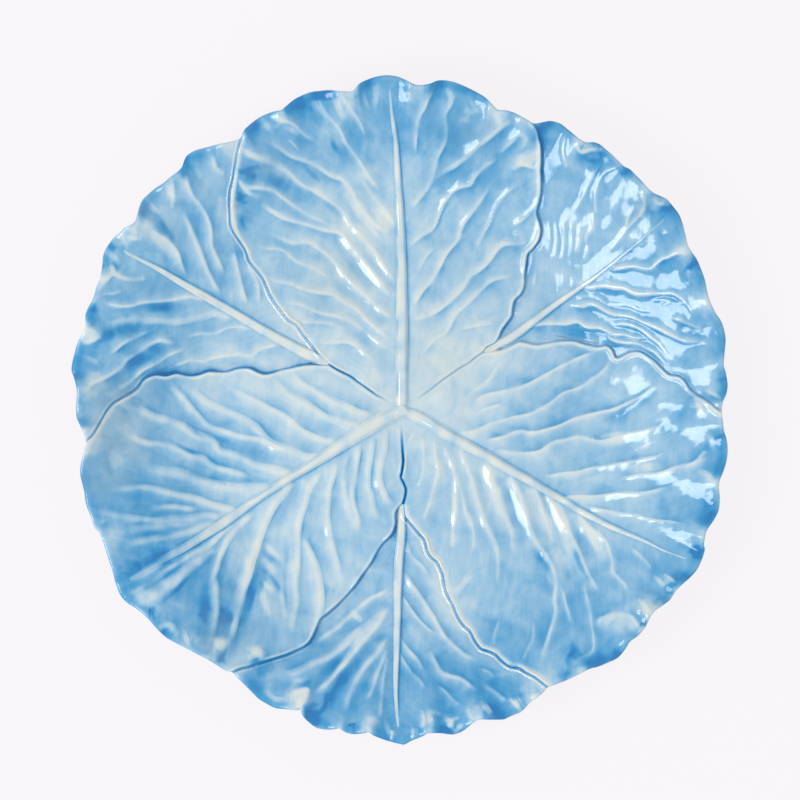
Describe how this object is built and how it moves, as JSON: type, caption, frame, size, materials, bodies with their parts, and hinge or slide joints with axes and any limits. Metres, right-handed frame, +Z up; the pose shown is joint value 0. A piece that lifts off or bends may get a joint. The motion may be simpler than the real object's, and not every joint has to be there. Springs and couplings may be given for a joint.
{
  "type": "cabbage dinner plate",
  "caption": "Coupe dinner plate moulded as overlapping cabbage leaves with raised midribs and veins, a ruffled scalloped rim and a foot ring, in pale to deep blue glaze.",
  "frame": {"origin": "centre of the foot ring on the surface that the plate stands on", "axes": "+Z up out of the dish; +Y along the upright top leaf's midrib; +X to the right, seen from above"},
  "size_m": [0.2627, 0.2682, 0.0306],
  "materials": {
    "blue_glaze": "glossy",
    "thin_glaze": "glossy",
    "foot_glaze": "glossy"
  },
  "bodies": {
    "root": {"leaf_top": "blue_glaze", "leaf_upper_right": "blue_glaze", "leaf_lower_right": "blue_glaze", "leaf_bottom": "blue_glaze", "leaf_lower_left": "blue_glaze", "leaf_upper_left": "blue_glaze", "midrib_top": "thin_glaze", "midrib_upper_right": "thin_glaze", "midrib_lower_right": "thin_glaze", "midrib_bottom": "thin_glaze", "midrib_lower_left": "thin_glaze", "midrib_upper_left": "thin_glaze", "crown": "thin_glaze", "foot_ring": "foot_glaze"}
  },
  "joints": []
}
